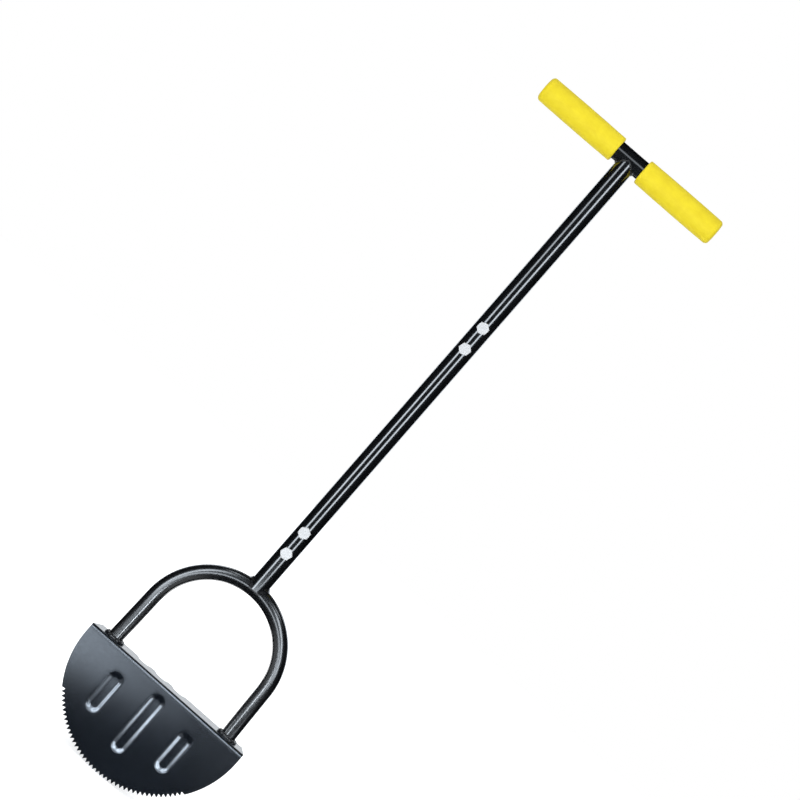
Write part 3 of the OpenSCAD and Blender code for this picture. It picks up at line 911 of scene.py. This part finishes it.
# %% [markdown]
# ## Weld beads
# The bow stands on the foot plate in two rings of weld, the stub is welded over the top of the bow
# and the upper tube under the crossbar. A bead is a row of overlapping drops along a path, so one
# tree makes them all: it resamples the path, lets it wander a little, swells a round profile drop
# by drop, and roughens the skin with noise. Only the path and the sizes differ. The stub's bead lies
# over its CAD weld, which stays. The other three stand for theirs.

# %% Weld bead tree
PROFILE_STEPS = 14
DRIFT_SCALE = 160.0
LUMP_SCALE = 700.0
DROP_MEAN = 0.6

tree, given = new_tree(
    "weld_bead",
    ("Bead Radius", "NodeSocketFloat"),
    ("Drops", "NodeSocketInt"),
    ("Swell", "NodeSocketFloat"),
    ("Wander", "NodeSocketFloat"),
    ("Lumps", "NodeSocketFloat"),
    ("Steps", "NodeSocketInt"),
)
curve = wire(tree, "GeometryNodeMeshToCurve", Mesh=given["Geometry"])
even = wire(tree, "GeometryNodeResampleCurve", Curve=curve.outputs[0], Count=given["Steps"])
drift = wire(tree, "ShaderNodeTexNoise", Scale=DRIFT_SCALE, Detail=2.0)
centred = tree.nodes.new("ShaderNodeVectorMath")
centred.operation = "SUBTRACT"
centred.inputs[1].default_value = (0.5, 0.5, 0.5)
tree.links.new(drift.outputs["Color"], centred.inputs[0])
scaled = tree.nodes.new("ShaderNodeVectorMath")
scaled.operation = "SCALE"
tree.links.new(centred.outputs[0], scaled.inputs[0])
tree.links.new(given["Wander"], scaled.inputs["Scale"])
wandering = wire(tree, "GeometryNodeSetPosition", Geometry=even.outputs[0], Offset=scaled.outputs[0])
along = tree.nodes.new("GeometryNodeSplineParameter").outputs["Factor"]
beat = calc(tree, "FRACT", calc(tree, "MULTIPLY", along, given["Drops"]))
drop_shape = calc(tree, "SINE", calc(tree, "MULTIPLY", beat, math.pi))
swollen = calc(tree, "MULTIPLY_ADD", calc(tree, "SUBTRACT", drop_shape, DROP_MEAN), given["Swell"], 1.0)
profile = wire(
    tree, "GeometryNodeCurvePrimitiveCircle",
    Resolution=PROFILE_STEPS, Radius=given["Bead Radius"],
)
tube = wire(
    tree, "GeometryNodeCurveToMesh",
    Curve=wandering.outputs[0], Profile_Curve=profile.outputs[0], Scale=swollen, Fill_Caps=True,
)
rough = wire(tree, "ShaderNodeTexNoise", Scale=LUMP_SCALE, Detail=3.0)
lift = calc(tree, "MULTIPLY", calc(tree, "SUBTRACT", rough.outputs["Fac"], 0.5), given["Lumps"])
outwards = tree.nodes.new("ShaderNodeVectorMath")
outwards.operation = "SCALE"
tree.links.new(tree.nodes.new("GeometryNodeInputNormal").outputs[0], outwards.inputs[0])
tree.links.new(lift, outwards.inputs["Scale"])
lumpy = wire(tree, "GeometryNodeSetPosition", Geometry=tube.outputs[0], Offset=outwards.outputs[0])
smooth = wire(tree, "GeometryNodeSetShadeSmooth", Geometry=lumpy.outputs[0])
end_tree(tree, given, smooth.outputs[0])
weld_tree = tree
print("weld bead tree:", len(tree.nodes), "nodes")

# %% Beads round the legs
LEG_BEAD = 2.6 * MM
LEG_RING = 1.9 * MM
LEG_LIFT = 1.0 * MM
PATH_STEPS = 96


def bead(name, points, node_name, **sizes):
    """A closed bead along the points, in place of a CAD weld where one is named."""
    edges = [(i, (i + 1) % len(points)) for i in range(len(points))]
    piece = run_tree(name, weld_tree, points, edges, Finish=weld_coat, **sizes)
    if node_name:
        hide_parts(node_name)
    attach(piece, "root")
    print(name, len(piece.data.polygons), "faces")


turns = np.linspace(0.0, 2.0 * math.pi, PATH_STEPS, endpoint=False)
for name in ("left_leg", "right_leg"):
    weld_low, weld_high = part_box(name + "_weld")
    leg_middle = (weld_low.x + weld_high.x) / 2.0
    ring = bow_tube_radius + LEG_RING
    leg_path = [
        (leg_middle + ring * math.cos(t), ring * math.sin(t), plate_top + LEG_LIFT) for t in turns
    ]
    bead(
        name + "_bead", leg_path, name + "_weld",
        Bead_Radius=LEG_BEAD, Drops=15, Swell=0.22, Wander=1.6 * MM, Lumps=0.9 * MM, Steps=180,
    )

# %% Bead round the stub's tongues
STUB_BEAD = 1.4 * MM
STUB_GROW = 0.6 * MM
TONGUE_TIP = 6.0 * MM
BOW_RISE = 68.5 * MM
bow_axis = bow_high.z - bow_tube_radius
bend_middle = plate_top + BOW_RISE
bend_radius = bow_axis - bend_middle


def on_bow(x, z, side):
    """The point of the bow's skin in front (side -1) or behind (side 1) at that place."""
    off_axis = math.hypot(x, z - bend_middle) - bend_radius
    return (x, side * math.sqrt(max(bow_tube_radius ** 2 - off_axis ** 2, 0.0)), z)


shoulder = (shaft_radius + STUB_GROW, bow_axis + bow_tube_radius)
tip = (TONGUE_TIP + STUB_GROW, bow_axis - STUB_GROW)
tongue = straight_points((-shoulder[0], shoulder[1]), (-tip[0], tip[1]))
tongue += straight_points((-tip[0], tip[1]), tip)[1:]
tongue += straight_points(tip, shoulder)[1:]
stub_path = [on_bow(x, z, -1.0) for x, z in tongue]
stub_path += [on_bow(x, z, 1.0) for x, z in reversed(tongue[1:-1])]
bead(
    "stub_bead", stub_path, None,
    Bead_Radius=STUB_BEAD, Drops=26, Swell=0.2, Wander=0.6 * MM, Lumps=0.4 * MM, Steps=240,
)

# %% Bead under the crossbar
CROSSBAR_BEAD = 1.1 * MM
SADDLE_SOFT = 0.04

saddle_path = []
for t in turns:
    fall = shaft_radius * math.sqrt(math.cos(t) ** 2 + SADDLE_SOFT)
    saddle_path.append((shaft_radius * math.cos(t), shaft_radius * math.sin(t), crossbar_height - fall))
bead(
    "crossbar_bead", saddle_path, "crossbar_weld",
    Bead_Radius=CROSSBAR_BEAD, Drops=34, Swell=0.2, Wander=0.5 * MM, Lumps=0.3 * MM, Steps=260,
)

# %% [markdown]
# ## Bolt threads
# The bolts' ends stand out of their nuts behind the shaft, and there the thread shows. A thread is
# a spiral ridge: the tree sweeps a small profile along a spiral and sets one copy on each of four
# points, the places of the bolts. In CAD the shanks stay plain, because a thread is only looks.

# %% Thread ridges
THREAD_PITCH = 1.25 * MM
THREAD_RIDGE = 0.34 * MM
THREAD_TURNS = 1.8
BOLT_RADIUS = 4.0 * MM
BOLT_SPACING = 33.0 * MM

tree, given = new_tree(
    "thread_ridge",
    ("Radius", "NodeSocketFloat"),
    ("Pitch", "NodeSocketFloat"),
    ("Turns", "NodeSocketFloat"),
    ("Ridge", "NodeSocketFloat"),
)
spiral = wire(
    tree, "GeometryNodeCurveSpiral",
    Resolution=40, Rotations=given["Turns"], Start_Radius=given["Radius"], End_Radius=given["Radius"],
    Height=calc(tree, "MULTIPLY", given["Turns"], given["Pitch"]),
)
profile = wire(tree, "GeometryNodeCurvePrimitiveCircle", Resolution=6, Radius=given["Ridge"])
sweep = wire(
    tree, "GeometryNodeCurveToMesh",
    Curve=spiral.outputs[0], Profile_Curve=profile.outputs[0], Fill_Caps=True,
)
lying = wire(
    tree, "GeometryNodeTransform", Geometry=sweep.outputs[0], Rotation=(-math.pi / 2.0, 0.0, 0.0)
)
copies = wire(
    tree, "GeometryNodeInstanceOnPoints", Points=given["Geometry"], Instance=lying.outputs[0]
)
end_tree(tree, given, copies.outputs[0])

tail_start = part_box("lower_joint_nuts")[1].y + THREAD_RIDGE
bolt_places = []
for seam in (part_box("middle_tube")[0].z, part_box("middle_tube")[1].z):
    for step in (-0.5, 0.5):
        bolt_places.append((0.0, tail_start, seam + step * BOLT_SPACING))
threads = run_tree(
    "bolt_threads", tree, bolt_places, [],
    Finish=zinc_plate, Radius=BOLT_RADIUS, Pitch=THREAD_PITCH, Turns=THREAD_TURNS, Ridge=THREAD_RIDGE,
)
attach(threads, "root")
print("threads:", len(threads.data.polygons), "faces on", len(bolt_places), "bolts")

# %% [markdown]
# ## Foam grips
# Each grip is a tube of foam, pushed over the end of the crossbar and closed at its outer
# end. A plain cylinder looks like hard plastic. The grip is turned from a profile with soft rims, a
# slightly crowned body and a domed end, and its skin is dented a little by a slow noise, as foam
# is. The bore is real, so that the rim stands off the bar.

# %% Grips
GRIP_BORE = 12.6 * MM
GRIP_END = 6.0 * MM
GRIP_LIP = 2.2 * MM
GRIP_ROUND = 5.5 * MM
GRIP_CROWN = 0.35 * MM
GRIP_DENT = 0.25 * MM
GRIP_STEPS = 120
BORE_STEPS = 20
FACE_STEPS = 6
LIP_STEPS = 8
BODY_STEPS = 60
SHOULDER_STEPS = 12
DOME_STEPS = 10
DENT_SIZE = 14.0 * MM
BORE_FLARE = 0.35
BORE_FLARE_START = 0.2
DOME_SHARE = 0.1


def grip_profile(length, radius):
    """Half a grip cut along its axis, from the bottom of the bore round to the outer end."""
    bottom = length - GRIP_END
    bore = [(bottom, 0.0)]
    bore += [(bottom - s, GRIP_BORE) for s in np.linspace(0.0, bottom - GRIP_LIP, BORE_STEPS)]
    face = [
        (GRIP_LIP * (1.0 - math.sin(t)), GRIP_BORE + GRIP_LIP * (1.0 - math.cos(t)) * BORE_FLARE)
        for t in np.linspace(BORE_FLARE_START, math.pi / 2.0, FACE_STEPS)
    ]
    rim = [
        (GRIP_LIP * (1.0 - math.cos(t)), radius - GRIP_CROWN - GRIP_LIP * (1.0 - math.sin(t)))
        for t in np.linspace(0.0, math.pi / 2.0, LIP_STEPS)
    ]
    body_start = GRIP_LIP
    body_end = length - GRIP_ROUND
    body = []
    for s in np.linspace(body_start, body_end, BODY_STEPS)[1:]:
        bulge = math.sin(math.pi * (s - body_start) / (body_end - body_start))
        body.append((s, radius - GRIP_CROWN * (1.0 - bulge)))
    end_radius = radius - GRIP_CROWN
    shoulder_length = GRIP_ROUND * (1.0 - DOME_SHARE)
    shoulder = [
        (body_end + shoulder_length * math.sin(t), end_radius - GRIP_ROUND * (1.0 - math.cos(t)))
        for t in np.linspace(0.0, math.pi / 2.0, SHOULDER_STEPS)[1:]
    ]
    flat_radius = end_radius - GRIP_ROUND
    dome = [
        (length - GRIP_ROUND * DOME_SHARE * share * share, flat_radius * share)
        for share in np.linspace(1.0, 0.0, DOME_STEPS)[1:]
    ]
    return bore + face + rim + body + shoulder + dome


def make_grip(name, node_name, side):
    low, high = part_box(node_name)
    length = high.x - low.x
    radius = high.y
    start = low.x if side > 0.0 else high.x
    profile = grip_profile(length, radius)
    points = []
    rings = []
    for along, out in profile:
        ring = []
        for turn in np.linspace(0.0, 2.0 * math.pi, GRIP_STEPS, endpoint=False):
            if out == 0.0 and ring:
                ring.append(ring[0])
                continue
            spot = Vector((
                start + side * along,
                -out * math.cos(turn),
                crossbar_height + out * math.sin(turn),
            ))
            if out > GRIP_BORE + GRIP_LIP:
                dent = (noise.noise(spot / DENT_SIZE) - 1.0) / 2.0
                spot.y -= dent * GRIP_DENT * math.cos(turn)
                spot.z += dent * GRIP_DENT * math.sin(turn)
            ring.append(len(points))
            points.append(spot)
        rings.append(ring)
    faces = []
    for first, second in zip(rings, rings[1:]):
        for i in range(GRIP_STEPS):
            j = (i + 1) % GRIP_STEPS
            corners = [first[i], first[j], second[j], second[i]]
            unique = list(dict.fromkeys(corners))
            faces.append(unique if side > 0.0 else unique[::-1])
    mesh = bpy.data.meshes.new(name)
    mesh.from_pydata(points, [], faces)
    mesh.materials.append(foam)
    mesh.shade_smooth()
    piece = bpy.data.objects.new(name, mesh)
    scene.collection.objects.link(piece)
    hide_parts(node_name)
    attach(piece, "root")
    print(name, len(faces), "faces")


make_grip("left_foam_grip", "left_grip", -1.0)
make_grip("right_foam_grip", "right_grip", 1.0)
